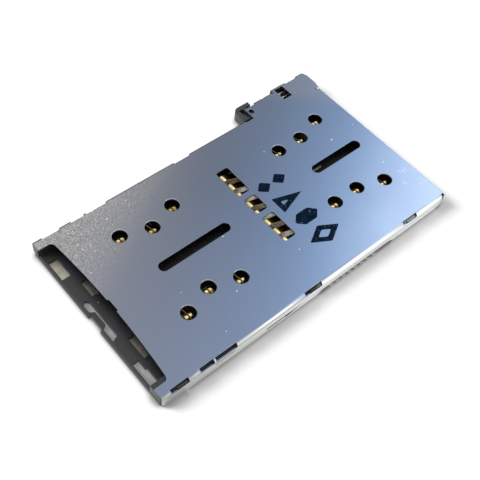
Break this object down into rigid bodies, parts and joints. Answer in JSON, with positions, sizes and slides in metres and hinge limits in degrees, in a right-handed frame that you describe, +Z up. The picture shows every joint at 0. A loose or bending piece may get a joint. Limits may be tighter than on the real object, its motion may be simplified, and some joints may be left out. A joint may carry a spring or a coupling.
{
  "type": "sim card socket",
  "caption": "Low board socket for a sliding tray of SIM and memory cards: stamped steel shell with contact holes and slots over a black moulded base with gold springs and a detect switch.",
  "frame": {"origin": "middle of the footprint between the side walls and from the mouth to the back wall, on the board's face", "axes": "+Z up from the board, -Y out of the tray mouth, +X towards the wall with the row of solder tails"},
  "size_m": [0.0179, 0.0296, 0.0014],
  "materials": {
    "shell_steel": "satin stamped stainless sheet with a fine grain",
    "housing_plastic": "matt black moulded plastic",
    "contact_gold": "gold-plated copper alloy strip",
    "switch_metal": "nickel-plated copper alloy strip",
    "anchor_metal": "tinned copper alloy plate"
  },
  "bodies": {
    "root": {"shell": "shell_steel", "base_housing": "housing_plastic", "front_sim_contact_1": "contact_gold", "front_sim_contact_2": "contact_gold", "front_sim_contact_3": "contact_gold", "front_sim_contact_4": "contact_gold", "front_sim_contact_5": "contact_gold", "front_sim_contact_6": "contact_gold", "rear_sim_contact_1": "contact_gold", "rear_sim_contact_2": "contact_gold", "rear_sim_contact_3": "contact_gold", "rear_sim_contact_4": "contact_gold", "rear_sim_contact_5": "contact_gold", "rear_sim_contact_6": "contact_gold", "memory_card_contact_1": "contact_gold", "memory_card_contact_2": "contact_gold", "memory_card_contact_3": "contact_gold", "memory_card_contact_4": "contact_gold", "memory_card_contact_5": "contact_gold", "memory_card_contact_6": "contact_gold", "memory_card_contact_7": "contact_gold", "memory_card_contact_8": "contact_gold", "detect_spring": "switch_metal", "detect_terminal": "switch_metal", "front_anchor_left": "anchor_metal", "front_anchor_right": "anchor_metal"}
  },
  "joints": []
}
